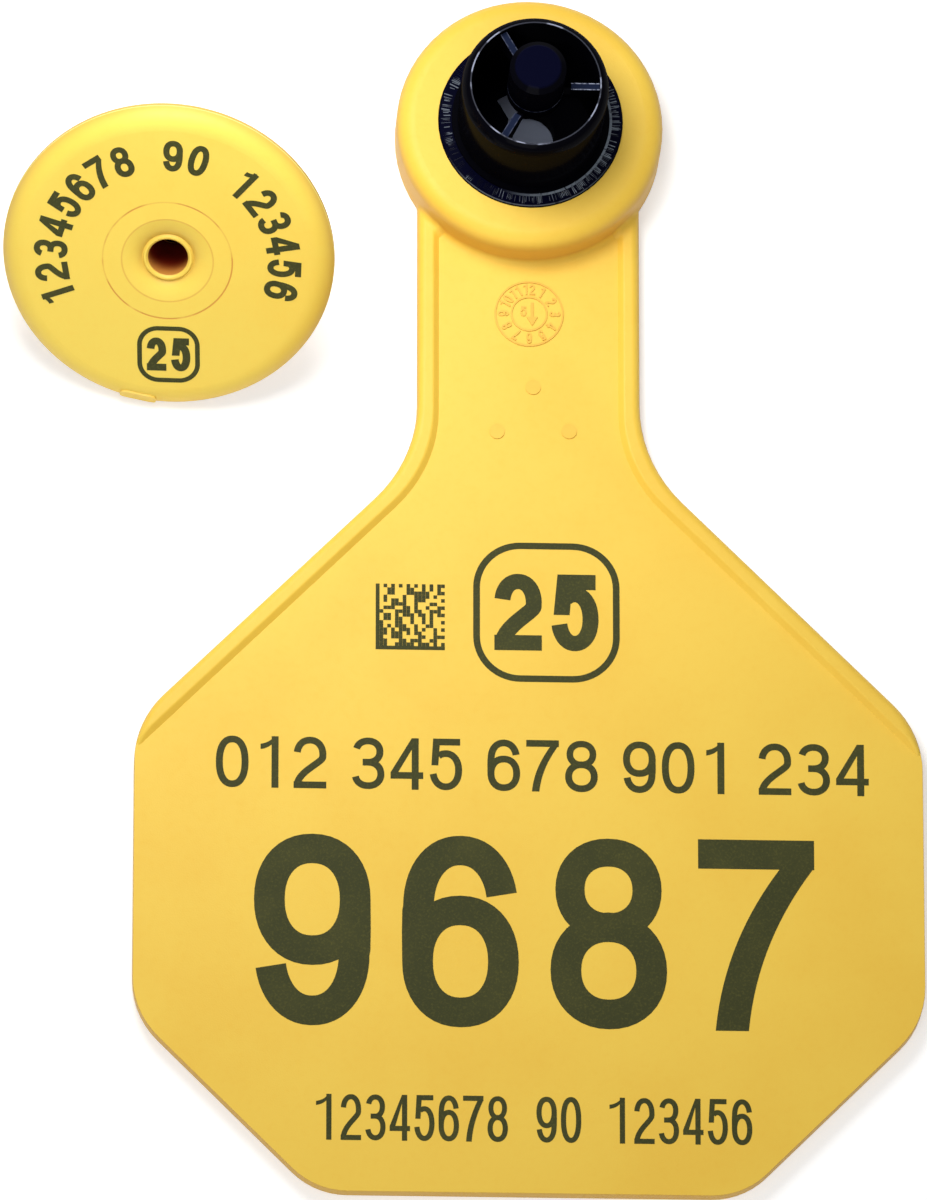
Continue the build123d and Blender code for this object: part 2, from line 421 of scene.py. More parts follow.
button_finish = Finish("button_yellow_plastic")
button_place = button_finish.place()
button_x, button_y, button_z = button_finish.axes(button_finish.add(
    "ShaderNodeMapping", {"vector_type": "TEXTURE"}, {
        "Vector": button_place, "Location": button_frame.translation,
        "Rotation": button_frame.to_euler()}))
button_reach = from_axis(button_x, button_y)
# RIM_SHADE lowers the facing, so that more of the painted shade of upright walls falls on the
# button's rim.
button_skin, button_roughness, button_grain = yellow_skin(
    button_finish, button_place, BUTTON_LIT_YELLOW, BUTTON_LIT_DEEP,
    button_finish.facing(face_normal) - RIM_SHADE)

# Hair lines: a faint one round the dish, a broken one round the insert, and one on the rim, which
# is painted pale as a highlight
breaks = button_finish.noise(button_place, BREAK_SIZE, detail=2.0, roughness=0.5)
whole = breaks.ramp(*BREAK_LEVELS).span(*BREAK_SHARES)
dish_line = button_reach.near(DISH_RADIUS, *WITNESS_LINE) * DISH_LINE_SHARE
insert_line = button_reach.near(INSERT_RADIUS, *WITNESS_LINE) * whole
witness = dish_line.most(insert_line) * button_z.ramp(*FACE_BAND)
flash = button_z.near(FLASH_HEIGHT, *FLASH_LINE) * button_reach.ramp(*FLASH_BAND)

# The dish and the hole, with painted shade near the lip and down the hole
in_hole = button_reach.fall(*HOLE_EDGE) * button_z.fall(*HOLE_TOP)
down_dish = ((DISH_RADIUS - button_reach) / DISH_WIDTH).most(0.0).least(1.0)
funnel = (down_dish - down_dish ** FUNNEL_POWER) * (1 - in_hole)
# Painted shade: the dish turns browner towards the hole's lip.
dish_shade = down_dish ** DISH_SHADE_POWER * button_reach.ramp(*LIP_FOOT) * DISH_SHADE_SHARE
# Painted shade: the hole turns from brown at its mouth to deep red further down.
hole_shade_colour = button_finish.blend(button_z.fall(*HOLE_FADE), MOUTH_SHADE, HOLE_SHADE)

button_colour = button_finish.blend(dish_shade, button_skin, PAINTED_SHADE_YELLOW)
button_colour = button_finish.blend(witness, button_colour, WITNESS_TINT)
# Painted highlight: the rim's line is painted pale.
button_colour = button_finish.blend(flash * FLASH_HIGHLIGHT_SHARE, button_colour, FLASH_HIGHLIGHT)
button_colour = button_finish.blend(in_hole, button_colour, hole_shade_colour)
button_normal = button_finish.bump(button_grain, GRAIN_DEPTH)
line_relief = flash - witness * WITNESS_RELIEF_SHARE
button_normal = button_finish.bump(line_relief, LINE_RELIEF, normal=button_normal)
button_normal = button_finish.bump(funnel, DISH_DEPTH, normal=button_normal)
button_plastic = button_finish.surface(
    Base_Color=button_colour, Roughness=button_roughness, Specular_IOR_Level=YELLOW_SPECULAR,
    Normal=button_normal)

# %% Dress the yellow nodes
def dress(node, material):
    """Gives a CAD node one material on all its slots."""
    mesh = nodes[node].data
    if not mesh.materials:
        mesh.materials.append(material)
    for index in range(len(mesh.materials)):
        mesh.materials[index] = material


dress("tag_panel", panel_plastic)
dress("male_button", button_plastic)

# %% [markdown]
# ## Hard black plastic
#
# The cup is a hard, glossy, blue-black moulding, so dark that only its edges show, and these
# are painted highlights. The lip of its rim is painted with a thin broken pale line, and so are
# the edges of the three fins inside, more on one side; the fins' tops carry a faint painted
# sheen. The flange is painted with pale glints outwards from its step, most of all on one side,
# and with a pale line along the front of its edge: painted highlights too. Each of these is a
# mask: a ring or a height, broken by noise. The fins lie at 0, 120 and 240 degrees, where the
# sine of three times the bearing is zero, and a third of that sine, times the distance from the
# axis, is the distance across a fin.

# %% Black plastic of the cup
BLACK = colour(5, 5, 10)
NAVY = colour(6, 7, 27)
EDGE_HIGHLIGHT = colour(168, 174, 196)
GLINT_GREY = colour(138, 148, 160)
FIN_TOP_SHEEN = colour(30, 38, 62)
FIN_SHEEN_SHARE = 0.8
LIP_RADIUS = 6.32 * MM
LIP_LINE = (0.03 * MM, 0.1 * MM)
LIP_BAND = (16.45 * MM, 16.55 * MM)
LIP_LEVELS = (0.49, 0.58)
LIP_SHARES = (0.1, 0.8)
FIN_FOOT = (15.8 * MM, 15.88 * MM)
FIN_ROOF = (15.95 * MM, 16.0 * MM)
FIN_END = (6.2 * MM, 6.25 * MM)
FIN_SIDE = (0.23 * MM, 0.3 * MM)
FIN_LIT = (0.0, 4 * MM)
FIN_EDGE_SHARES = (0.15, 0.85)
STEP_RADIUS = 7.7 * MM
STEP_EDGE = (STEP_RADIUS, STEP_RADIUS + 0.04 * MM)
STEP_BAND = (STEP_RADIUS + 0.24 * MM, STEP_RADIUS + 0.3 * MM)
FLANGE_BAND = (6.4 * MM, 6.45 * MM)
FLANGE_EDGE = (8.86 * MM, 8.9 * MM)
FRONT_SIDE = (-8 * MM, -3 * MM)
EDGE_SHARE = 0.35
GLINT_SIDE_WAY = (0.82, -0.57)
GLINT_SIDE_BAND = (1.5 * MM, 7.5 * MM)
HUB_BAND = (21.0 * MM, 21.15 * MM)
PIT_SIZE = 0.35 * MM
PIT_LEVELS = (0.3, 0.6)
PIT_SHARE = 0.15
STREAK_WIDTH = 0.4 * MM
STREAK_PULL = 0.2
STREAK_LEVELS = (0.25, 0.5)
FLOW_SIZE = 2.2 * MM
FLOW_DEPTH = 0.05 * MM


class CupFinish(Finish):
    """Black plastic with the masks that the cup's and the scores' finishes share."""

    def __init__(self, name):
        super().__init__(name)
        self.point = self.place()
        self.x, self.y, self.z = self.axes(self.point)
        self.radius = from_axis(self.x, self.y)
        self.pits = self.noise(self.point, PIT_SIZE, detail=3.0, roughness=0.6)
        # The side where the painted glints are strongest.
        along = self.x * GLINT_SIDE_WAY[0] + self.y * GLINT_SIDE_WAY[1]
        self.pressed = along.ramp(*GLINT_SIDE_BAND)
        round_way = self.y.math("ARCTAN2", self.x) * STEP_RADIUS
        streak_place = self.add("ShaderNodeCombineXYZ", None, {
            0: round_way, 1: self.radius * STREAK_PULL})
        self.streaks = self.noise(streak_place, STREAK_WIDTH, detail=3.0, roughness=0.6)


cup = CupFinish("cup_black_plastic")
flow = cup.noise(cup.point, FLOW_SIZE, detail=3.0, roughness=0.5)

# The lip's broken line and the pale edges of the fins, all painted highlights
lip_highlight = cup.radius.near(LIP_RADIUS, *LIP_LINE) * cup.z.ramp(*LIP_BAND)
lip_highlight = lip_highlight * flow.ramp(*LIP_LEVELS).span(*LIP_SHARES)
fin = cup.z.ramp(*FIN_FOOT) * cup.z.fall(*FIN_ROOF) * cup.radius.fall(*FIN_END)
across_fin = abs(cup.y - cup.y ** 3.0 / cup.radius ** 2.0 * (4 / 3))
fin_edge_highlight = fin * across_fin.ramp(*FIN_SIDE) * cup.pits.ramp(*PIT_LEVELS)
fin_edge_highlight = fin_edge_highlight * cup.x.ramp(*FIN_LIT).span(*FIN_EDGE_SHARES)

# The flange, with painted glints in a band at its step and a painted pale line at its front edge
on_flange = cup.radius.ramp(*STEP_EDGE) * cup.z.ramp(*FLANGE_BAND)
step_glint = on_flange * cup.radius.fall(*STEP_BAND) * cup.pressed
edge_glint = on_flange * cup.radius.ramp(*FLANGE_EDGE) * cup.y.fall(*FRONT_SIDE)
flange_glints = step_glint.most(edge_glint * EDGE_SHARE) * cup.streaks.ramp(*STREAK_LEVELS)

cup_colour = cup.blend(cup.z.ramp(*HUB_BAND).most(on_flange), BLACK, NAVY)
cup_colour = cup.blend(flange_glints, cup_colour, GLINT_GREY)
# Painted sheen: the fins' tops are a little lighter than the rest.
cup_colour = cup.blend(fin * FIN_SHEEN_SHARE, cup_colour, FIN_TOP_SHEEN)
cup_colour = cup.blend(lip_highlight.most(fin_edge_highlight), cup_colour, EDGE_HIGHLIGHT)
cup_relief = flow + cup.pits * PIT_SHARE + on_flange * cup.streaks
cup_plastic = cup.surface(
    Base_Color=cup_colour, Roughness=0.5, Specular_IOR_Level=0.0, Coat_Weight=0.05,
    Coat_Roughness=0.12, Normal=cup.bump(cup_relief, FLOW_DEPTH))

# %% Black plastic of the scores and of the tip
SCORE_LEVELS = (0.35, 0.6)
SCORE_DEPTH = 0.02 * MM
CLUSTER_SIZE = 2.4 * MM
CLUSTER_LEVELS = (0.48, 0.62)
CLUSTER_SHARE = 0.6

scores = CupFinish("score_glints_black_plastic")
clusters = scores.noise(scores.point, CLUSTER_SIZE, detail=2.0, roughness=0.5)
# Painted highlight: pale where the streaks on the glint side, or the clusters, say so.
shine = scores.streaks.ramp(*SCORE_LEVELS) * scores.pressed
shine = shine.most(clusters.ramp(*CLUSTER_LEVELS) * CLUSTER_SHARE)
glinting_score_plastic = scores.surface(
    Base_Color=scores.blend(shine, NAVY, GLINT_GREY), Roughness=0.35,
    Specular_IOR_Level=0.1, Normal=scores.bump(scores.pits, SCORE_DEPTH))

TIP_FLOW = 1.5 * MM
TIP_DEPTH = 0.03 * MM
TIP_ROUGHNESS = (0.2, 0.32)

tip_finish = Finish("tip_black_plastic")
tip_flow = tip_finish.noise(tip_finish.place(), TIP_FLOW, detail=3.0, roughness=0.5)
tip_plastic = tip_finish.surface(
    Base_Color=BLACK, Roughness=tip_flow.span(*TIP_ROUGHNESS), Specular_IOR_Level=0.25,
    Normal=tip_finish.bump(tip_flow, TIP_DEPTH))

dress("locking_cup", cup_plastic)
dress("stud_tip", tip_plastic)

# %% [markdown]
# ## Strokes that become one flat shape
#
# The numbers on a tag are plain sign-maker's figures: strokes of one width, with square ends.
# Each figure is drawn here as centre lines, in a box one unit high. A stroke is widened into
# quads, and where strokes meet they overlap. A constrained triangulation merges what overlaps
# into one clean outline, so no two faces lie in the same place.

# %% Strokes and outlines
SHARPEST_BEND = 0.5
MERGE_REACH = 1e-6
INSIDE_ONLY = 1


def arc(centre, radii, start, end, steps=20, fullness=2.0):
    """Points on an ellipse, or on a fuller oval, between two angles in degrees."""
    points = []
    for step in range(steps + 1):
        angle = math.radians(start + (end - start) * step / steps)
        east, north = math.cos(angle), math.sin(angle)
        points.append((
            centre[0] + radii[0] * math.copysign(abs(east) ** (2 / fullness), east),
            centre[1] + radii[1] * math.copysign(abs(north) ** (2 / fullness), north)))
    return points


def bend(first, pull_first, pull_last, last, steps=16):
    """Points on one cubic curve."""
    points = []
    for step in range(steps + 1):
        share = step / steps
        rest = 1 - share
        weights = (rest ** 3, 3 * rest ** 2 * share, 3 * rest * share ** 2, share ** 3)
        points.append(tuple(
            sum(weight * point[axis] for weight, point in
                zip(weights, (first, pull_first, pull_last, last))) for axis in range(2)))
    return points


def widen(points, width, closed=False, across=None):
    """The quads of a stroke. Its ends are square to it, or lie along a given direction."""
    line = [Vector(point) for point in points]
    count = len(line)
    edges = []
    for index, point in enumerate(line):
        if closed:
            before, after = line[index - 1], line[(index + 1) % count]
        else:
            before, after = line[max(index - 1, 0)], line[min(index + 1, count - 1)]
        into, out = point - before, after - point
        if into.length == 0:
            into = out
        if out.length == 0:
            out = into
        along = (into.normalized() + out.normalized()).normalized()
        if across is None:
            side = Vector((-along.y, along.x))
            reach = width / 2 / max(SHARPEST_BEND, along.dot(into.normalized()))
        else:
            side = Vector(across)
            reach = width / 2
        edges.append((point + side * reach, point - side * reach))
    last = count if closed else count - 1
    return [(edges[index][0], edges[index][1], edges[(index + 1) % count][1],
             edges[(index + 1) % count][0]) for index in range(last)]


def area(shape):
    """The signed area of a polygon: above zero where it runs counter-clockwise."""
    return sum(a[0] * b[1] - a[1] * b[0] for a, b in zip(shape, shape[1:] + shape[:1])) / 2


def merge(shapes):
    """Overlapping polygons as one set of corners and triangles."""
    corners, faces = [], []
    for shape in shapes:
        start = len(corners)
        if area(shape) < 0:
            shape = shape[::-1]
        corners.extend(Vector(point) for point in shape)
        faces.append(list(range(start, start + len(shape))))
    made = geometry.delaunay_2d_cdt(corners, [], faces, INSIDE_ONLY, MERGE_REACH, True)
    points, triangles, sources = made[0], made[2], made[5]
    kept = [face for face, source in zip(triangles, sources) if source]
    return points, kept


# %% [markdown]
# ## The figures 0 to 9
#
# `figure` draws one figure from its box width and its stroke width. The numbers in it are shares
# of the box, given one by one. The six is a closed oval and an arm over it, and the nine is the
# same shape turned round. The seven's leg is cut level at its foot, so it is widened sideways and
# not square to its path.

# %% Figures
def figure(digit, width, stroke):
    """The polygons of a plain figure, in a box from (0, 0) to (width, 1)."""
    half = stroke / 2
    middle = width / 2
    reach = middle - half
    top = 1 - half
    if digit == 0:
        return widen(arc((middle, 0.5), (reach, 0.5 - half), 0, 360, 48, 2.3)[:-1], stroke, True)
    if digit == 1:
        stem = width * 0.62
        flag = bend((stem - 0.27, 0.8), (stem - 0.12, 0.82), (stem - 0.03, 0.9), (stem, 1.0))
        return widen([(stem, 0), (stem, 1)], stroke) + widen(flag, stroke * 0.8, across=(0, 1))[:-2]
    if digit == 2:
        drop = 0.28
        hook = arc((middle, top - drop), (reach, drop), 172, -8, 20, 2.15)
        tail = bend(hook[-1], (width - half * 1.1, 0.5), (half * 1.4, 0.33), (half, half))
        return widen(hook + tail[1:], stroke) + widen([(0, half), (width, half)], stroke)
    if digit == 3:
        upper = 0.22 - stroke * 0.1
        waist = top - 2 * upper
        lower = (waist - half) / 2
        head = arc((middle, top - upper), (reach * 0.92, upper), 165, -90, 28, 2.15)
        foot = arc((middle, half + lower), (reach, lower), 90, -168, 28, 2.15)
        bar = [(middle - 0.1, waist), (middle + 0.02, waist)]
        return widen(head, stroke) + widen(foot, stroke) + widen(bar, stroke)
    if digit == 4:
        stem = width - half - width * 0.14
        level = 0.21 + half
        slope = [(0, level - half), (0, level + half * 0.9), (stem - half, 1), (stem + half, 1),
                 (stem - half, 1 - stroke * 1.7), (stroke * 1.1, level + half),
                 (stroke * 1.1, level - half)]
        return ([slope] + widen([(stem, 0), (stem, 1)], stroke)
                + widen([(0, level), (width, level)], stroke))
    if digit == 5:
        bowl = 0.33 - stroke * 0.05
        side = half + width * 0.07
        round_part = arc((middle, half + bowl), (reach, bowl), 122, -168, 32, 2.15)
        neck = [(side + half * 0.4, 1), (side - half * 0.1, 0.5 - half * 0.3)]
        return (widen(round_part, stroke) + widen(neck, stroke, across=(1, 0))
                + widen([(side, top), (width * 0.94, top)], stroke))
    if digit == 6:
        bowl = 0.343 - half
        oval = arc((middle, 0.343), (reach, bowl), 0, 360, 44, 2.2)[:-1]
        arm = arc((middle, top - 0.3), (reach * 0.98, 0.3), 12, 180, 24, 2.15)
        side = [(half, 0.6), (half * 0.98, 0.5), (half, 0.343)]
        return widen(oval, stroke, True) + widen(arm + side, stroke)
    if digit == 7:
        leg = bend((width * 0.843, 1 - stroke), (width * 0.56, 0.62), (width * 0.34, 0.34),
                   (width * 0.285, 0))
        return (widen(leg, stroke * 1.08, across=(1, 0))
                + widen([(0, top), (width, top)], stroke))
    if digit == 8:
        waist = 0.532
        upper, lower = (top - waist) / 2, (waist - half) / 2
        head = arc((middle, top - upper), (reach * 0.9, upper), 0, 360, 40, 2.15)[:-1]
        foot = arc((middle, half + lower), (reach, lower), 0, 360, 40, 2.15)[:-1]
        return widen(head, stroke * 0.95, True) + widen(foot, stroke, True)
    return [tuple((width - point[0], 1 - point[1]) for point in shape)
            for shape in figure(6, width, stroke)]


def spread(text, height, width, pitch, stroke, gap=None):
    """Figures side by side, centred on the origin. A space is a gap, or else one whole pitch."""
    places, along = [], 0.0
    for sign in text:
        if sign == " ":
            along += pitch if gap is None else gap
        else:
            places.append((int(sign), along))
            along += pitch
    start = -places[-1][1] / 2
    return [[[(start + place - width / 2 + point[0] * height, (point[1] - 0.5) * height)
              for point in shape]
             for shape in figure(digit, width / height, stroke / height)]
            for digit, place in places]


# %% [markdown]
# ## From a flat shape to a thin film
#
# Ink lies on the plastic as a film a few hundredths of a millimetre thick, and moulded marks
# stand up a tenth. Both are the same job: the merged outline gets a top and walls, and its
# foot is sunk a little into the face that carries it.

# %% Films
INK_HEIGHT = 0.02 * MM
FILM_SINK = 0.01 * MM
WELD_REACH = 1e-7
FLAT_ANGLE = math.radians(1)


def keep(name, mesh):
    """Adds a finished mesh to the model, as a piece of its one body."""
    piece = bpy.data.objects.new(name, mesh)
    bpy.context.scene.collection.objects.link(piece)
    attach(piece, "root")
    print(name, len(mesh.polygons), "faces")


def film(name, groups, frame_matrix, height, material, sink=FILM_SINK):
    """A thin raised piece on a plane. Each group is one figure's polygons in millimetres."""
    corners, triangles = [], []
    for group in groups:
        points, faces = merge(group)
        start = len(corners)
        corners += [(point.x * MM, point.y * MM, -sink) for point in points]
        triangles += [[start + index for index in face] for face in faces]
    mesh = bpy.data.meshes.new(name)
    mesh.from_pydata(corners, [], triangles)
    body = bmesh.new()
    body.from_mesh(mesh)
    bmesh.ops.remove_doubles(body, verts=body.verts, dist=WELD_REACH)
    bmesh.ops.dissolve_limit(body, angle_limit=FLAT_ANGLE, verts=body.verts, edges=body.edges)
    raised = bmesh.ops.extrude_face_region(body, geom=body.faces[:])
    top = [item for item in raised["geom"] if isinstance(item, bmesh.types.BMVert)]
    bmesh.ops.translate(body, verts=top, vec=(0, 0, height + sink))
    bmesh.ops.recalc_face_normals(body, faces=body.faces)
    bmesh.ops.triangulate(body, faces=body.faces)
    body.transform(frame_matrix)
    body.to_mesh(mesh)
    body.free()
    mesh.materials.append(material)
    keep(name, mesh)


# %% [markdown]
# ## Ink
#
# The print is burnt and inked into the plastic by a laser, dot by dot. It reads as a dark olive
# and not as black, because the yellow shows through it in fine specks.

# %% Ink
INK = colour(62, 64, 30)
INK_WORN = colour(90, 88, 40)
INK_DOT = 0.22 * MM
INK_DOT_LEVELS = (0.45, 0.8)
INK_DOT_SHARE = 0.7
INK_PATCH = 5 * MM
INK_PATCH_LEVELS = (0.4, 0.8)
INK_GRAIN = 0.01 * MM
INK_ROUGHNESS = (0.55, 0.7)

ink_finish = Finish("olive_ink")
dots = ink_finish.noise(ink_finish.place(), INK_DOT, detail=2.0, roughness=0.65)
patches = ink_finish.noise(ink_finish.place(), INK_PATCH, detail=3.0, roughness=0.5)
worn_dots = dots.ramp(*INK_DOT_LEVELS) * INK_DOT_SHARE
worn_patches = patches.ramp(*INK_PATCH_LEVELS) * (1 - INK_DOT_SHARE)
ink = ink_finish.surface(
    Base_Color=ink_finish.blend(worn_dots + worn_patches, INK, INK_WORN),
    Roughness=dots.span(*INK_ROUGHNESS), Specular_IOR_Level=0.2,
    Normal=ink_finish.bump(dots, INK_GRAIN))

# %% [markdown]
# ## The print on the panel
#
# From the top there is a framed number, a square of small blocks, a row of fifteen figures,
# one big number that a farmer reads from afar, and a line of narrow figures at the foot. The
# places and sizes are in millimetres from the middle of the cup.

# %% Numbers on the panel
FIELD_HEIGHT = 1.9
BIG_FIGURES = {"height": 19.2, "width": 11.2, "pitch": 14.25, "stroke": 2.95}
ROW_FIGURES = {"height": 5.2, "width": 3.15, "pitch": 3.75, "stroke": 0.67, "gap": 1.85}
FOOT_FIGURES = {"height": 4.55, "width": 1.95, "pitch": 2.34, "stroke": 0.5}
PANEL_NUMBERS = (
    ("big_number", "9687", BIG_FIGURES, (0.5, -81.6)),
    ("number_row", "012 345 678 901 234", ROW_FIGURES, (1.3, -64.8)),
    ("foot_number", "12345678 90 123456", FOOT_FIGURES, (0.45, -100.3)))


def on_panel(x, y):
    """The plane of the panel's face, moved to a point on it."""
    return Matrix.Translation(Vector((x, y, FIELD_HEIGHT)) * MM)


for name, signs, figures, spot in PANEL_NUMBERS:
    film(name, spread(signs, **figures), on_panel(*spot), INK_HEIGHT, ink)

# %% [markdown]
# ## A framed number
#
# A plain square frame with four rounded corners holds a bold two-figure number. The frame is
# one closed stroke, so it is widened like any other.

# %% Framed number
CORNER_SHARE = 0.3
BADGE_SIGNS = "25"
PANEL_BADGE = {"size": 14.2, "line_width": 0.65, "height": 7.8, "width": 4.6, "pitch": 5.5,
               "stroke": 1.55}
PANEL_BADGE_PLACE = (1.7, -49.2)


def frame_line(size, corner, steps=14):
    """A square with rounded corners, as a closed line."""
    inner = size / 2 - corner
    line = []
    for turn in range(4):
        quarter = Matrix.Rotation(math.tau * turn / 4, 2)
        for step in range(steps + 1):
            angle = math.radians(90 * step / steps)
            point = Vector((inner + corner * math.cos(angle), inner + corner * math.sin(angle)))
            line.append(tuple(quarter @ point))
    return line


def framed_number(text, size, line_width, **figures):
    """A rounded frame with a number in its middle."""
    line = frame_line(size - line_width, size * CORNER_SHARE)
    return [widen(line, line_width, True)] + spread(text, **figures)


film("panel_badge", framed_number(BADGE_SIGNS, **PANEL_BADGE), on_panel(*PANEL_BADGE_PLACE),
     INK_HEIGHT, ink)

# %% [markdown]
# ## A square of blocks
#
# A real tag carries its number a second time as a field of tiny squares for a scanner. Here the
# field is generic. Geometry Nodes lay a grid of points, drop about half of them by a seeded
# chance, and set a small square on each that stays. Two sides of the square are solid lines, and
# the other two are lines of single blocks.

# %% Geometry Nodes helper
class Recipe:
    """A Geometry Nodes tree on one object, with named sizes as its inputs."""

    def __init__(self, name, sizes):
        self.tree = bpy.data.node_groups.new(name, "GeometryNodeTree")
        self.sizes = sizes
        for size, value in sizes.items():
            kind = "NodeSocketInt" if isinstance(value, int) else "NodeSocketFloat"
            self.tree.interface.new_socket(size, in_out="INPUT", socket_type=kind)
        self.tree.interface.new_socket("Geometry", in_out="OUTPUT",
                                       socket_type="NodeSocketGeometry")
        self.entry = self.tree.nodes.new("NodeGroupInput")
        self.exit = self.tree.nodes.new("NodeGroupOutput")

    def size(self, name):
        return self.entry.outputs[name]

    def add(self, kind, settings=None, inputs=None, output=0):
        return add_node(self.tree, kind, settings, inputs).outputs[output]

    def kept(self):
        """True at the share of places that is kept, by a seeded chance."""
        return self.add("FunctionNodeRandomValue", {"data_type": "BOOLEAN"}, {
            "Probability": self.size("Share kept"), "Seed": self.size("Seed")}, output=3)

    def draw(self, low, high, seed):
        """A random number between two bounds for each place."""
        return self.add("FunctionNodeRandomValue", None, {2: low, 3: high, "Seed": seed}, output=1)

    def times(self, first, second):
        """The product of two numbers."""
        return self.add("ShaderNodeMath", {"operation": "MULTIPLY"}, {0: first, 1: second})

    def make(self, name, geometry_socket, material, frame_matrix):
        """Ends the tree, runs it once and keeps the result as a plain mesh piece."""
        real = self.add("GeometryNodeRealizeInstances", None, {0: geometry_socket})
        done = self.add("GeometryNodeSetMaterial", None, {0: real, "Material": material})
        self.tree.links.new(done, self.exit.inputs[0])
        maker = bpy.data.objects.new(name + "_maker", bpy.data.meshes.new(name + "_maker"))
        bpy.context.scene.collection.objects.link(maker)
        modifier = maker.modifiers.new("recipe", "NODES")
        modifier.node_group = self.tree
        for item in self.tree.interface.items_tree:
            if item.in_out == "INPUT" and item.name in self.sizes:
                modifier[item.identifier] = self.sizes[item.name]
        ready = maker.evaluated_get(bpy.context.evaluated_depsgraph_get())
        mesh = bpy.data.meshes.new_from_object(ready)
        mesh.transform(frame_matrix)
        bpy.data.objects.remove(maker)
        keep(name, mesh)


# %% Square of blocks
CODE_PLACE = (-11.5, -49.85)
CODE_SIDE = 6.7
CODE_CELLS = 18
BLOCK_SHARE = 0.96
CODE_KEPT = 0.46
CODE_SEED = 11

code_cell = CODE_SIDE / CODE_CELLS
code_inner = CODE_CELLS - 2
blocks = Recipe("block_square", {
    "Side": code_cell * (code_inner - 1) * MM, "Count": code_inner, "Share kept": CODE_KEPT,
    "Block side": code_cell * BLOCK_SHARE * MM, "Block height": INK_HEIGHT + FILM_SINK,
    "Seed": CODE_SEED})
block_grid = blocks.add("GeometryNodeMeshGrid", None, {
    "Size X": blocks.size("Side"), "Size Y": blocks.size("Side"),
    "Vertices X": blocks.size("Count"), "Vertices Y": blocks.size("Count")})
block_chance = blocks.kept()
block_shape = blocks.add("GeometryNodeMeshCube", None, {
    "Size": blocks.add("ShaderNodeCombineXYZ", None, {
        0: blocks.size("Block side"), 1: blocks.size("Block side"),
        2: blocks.size("Block height")})})
block_points = blocks.add("GeometryNodeMeshToPoints", None, {0: block_grid})
block_set = blocks.add("GeometryNodeInstanceOnPoints", None, {
    "Points": block_points, "Selection": block_chance, "Instance": block_shape})
block_height = (INK_HEIGHT - FILM_SINK) / 2
blocks.make("code_blocks", block_set, ink,
            on_panel(*CODE_PLACE) @ Matrix.Translation((0, 0, block_height)))

code_half = CODE_SIDE / 2
code_edge = code_half - code_cell / 2
code_side = [(-code_edge, code_half), (-code_edge, -code_edge)]
code_foot = [(-code_half, -code_edge), (code_half, -code_edge)]
code_border = [widen(code_side, code_cell) + widen(code_foot, code_cell)]
block_half = code_cell * BLOCK_SHARE / 2
for step in range(1, CODE_CELLS):
    offset = -code_edge + step * code_cell
    x, y = (code_edge, offset) if step % 2 else (offset, code_edge)
    code_border.append([[(x - block_half, y - block_half), (x + block_half, y - block_half),
                         (x + block_half, y + block_half), (x - block_half, y + block_half)]])
film("code_border", code_border, on_panel(*CODE_PLACE), INK_HEIGHT, ink)

# %% [markdown]
# ## Moulded marks on the neck
#
# A moulder's date dial is a small round insert in the tool. It leaves two raised rings with the
# twelve months as figures between them, and an arrow in the middle. Three small raised dots
# stand below. They are the same plastic as the panel and stand up a tenth of a millimetre. Their
# yellow is a deeper copy of the panel's, painted shade for the shading on their thin slopes.

# %% Date dial and dots
MARK_HEIGHT = 0.1 * MM
# Painted shade: the marks and the dots get deeper copies of the panel's yellow.
MARK_SHADE_YELLOW = colour(246, 196, 72)
MARK_SHADE_DEEP = colour(238, 180, 62)
MARK_LINE = 0.17
DOT_SHADE_YELLOW = colour(252, 207, 76)
DOT_SHADE_DEEP = colour(248, 197, 68)
DOT_RADIUS = 0.75
DOT_PLACES = ((0.43, -26.1), (-3.09, -30.7), (3.93, -30.6))
DIAL_PLACE = (0.05, -18.5)
DIAL_RINGS = (1.72, 3.3)
DIAL_RADIUS = 2.52
MONTH_STEP = 30
DIAL_FIGURES = {"height": 1.1, "width": 0.52, "pitch": 0.62, "stroke": MARK_LINE}
YEAR_FIGURES = {"height": 1.0, "width": 0.6, "pitch": 0.6, "stroke": MARK_LINE}
YEAR_PLACE = (-0.55, 0.25)
ARROW_SHAFT = ((0.3, 1.15), (0.3, -0.5))
ARROW_LINE = MARK_LINE * 1.6
ARROW_HEAD = [(0.3, -1.25), (0.85, -0.35), (-0.25, -0.35)]

shaded_mark_plastic = level_plastic("marks_shaded_yellow_plastic", MARK_SHADE_YELLOW, MARK_SHADE_DEEP)
shaded_dot_plastic = level_plastic("dots_shaded_yellow_plastic", DOT_SHADE_YELLOW, DOT_SHADE_DEEP)


def moved(groups, place, degrees=0):
    """Figures turned about the origin and then moved to a place."""
    turn = Matrix.Rotation(math.radians(degrees), 2)
    return [[[tuple(turn @ Vector(point) + Vector(place)) for point in shape]
             for shape in group] for group in groups]


def on_circle(groups, radius, degrees):
    """Figures on a circle about the origin, with their heads outwards."""
    angle = math.radians(degrees)
    return moved(groups, (radius * math.cos(angle), radius * math.sin(angle)), degrees - 90)


def disc(radius, steps):
    """The corners of a round plate, which are also the centre line of a ring."""
    return arc((0, 0), (radius, radius), 0, 360, steps)[:-1]


dial = [widen(disc(radius, steps=60), MARK_LINE, True) for radius in DIAL_RINGS]
dial.append(widen(ARROW_SHAFT, ARROW_LINE) + [ARROW_HEAD])
dial += moved(spread("5", **YEAR_FIGURES), YEAR_PLACE)
for month in range(1, 13):
    number = spread(str(month), **DIAL_FIGURES)
    dial += on_circle(number, DIAL_RADIUS, 90 - MONTH_STEP * month)
film("date_dial", dial, on_panel(*DIAL_PLACE), MARK_HEIGHT, shaded_mark_plastic)

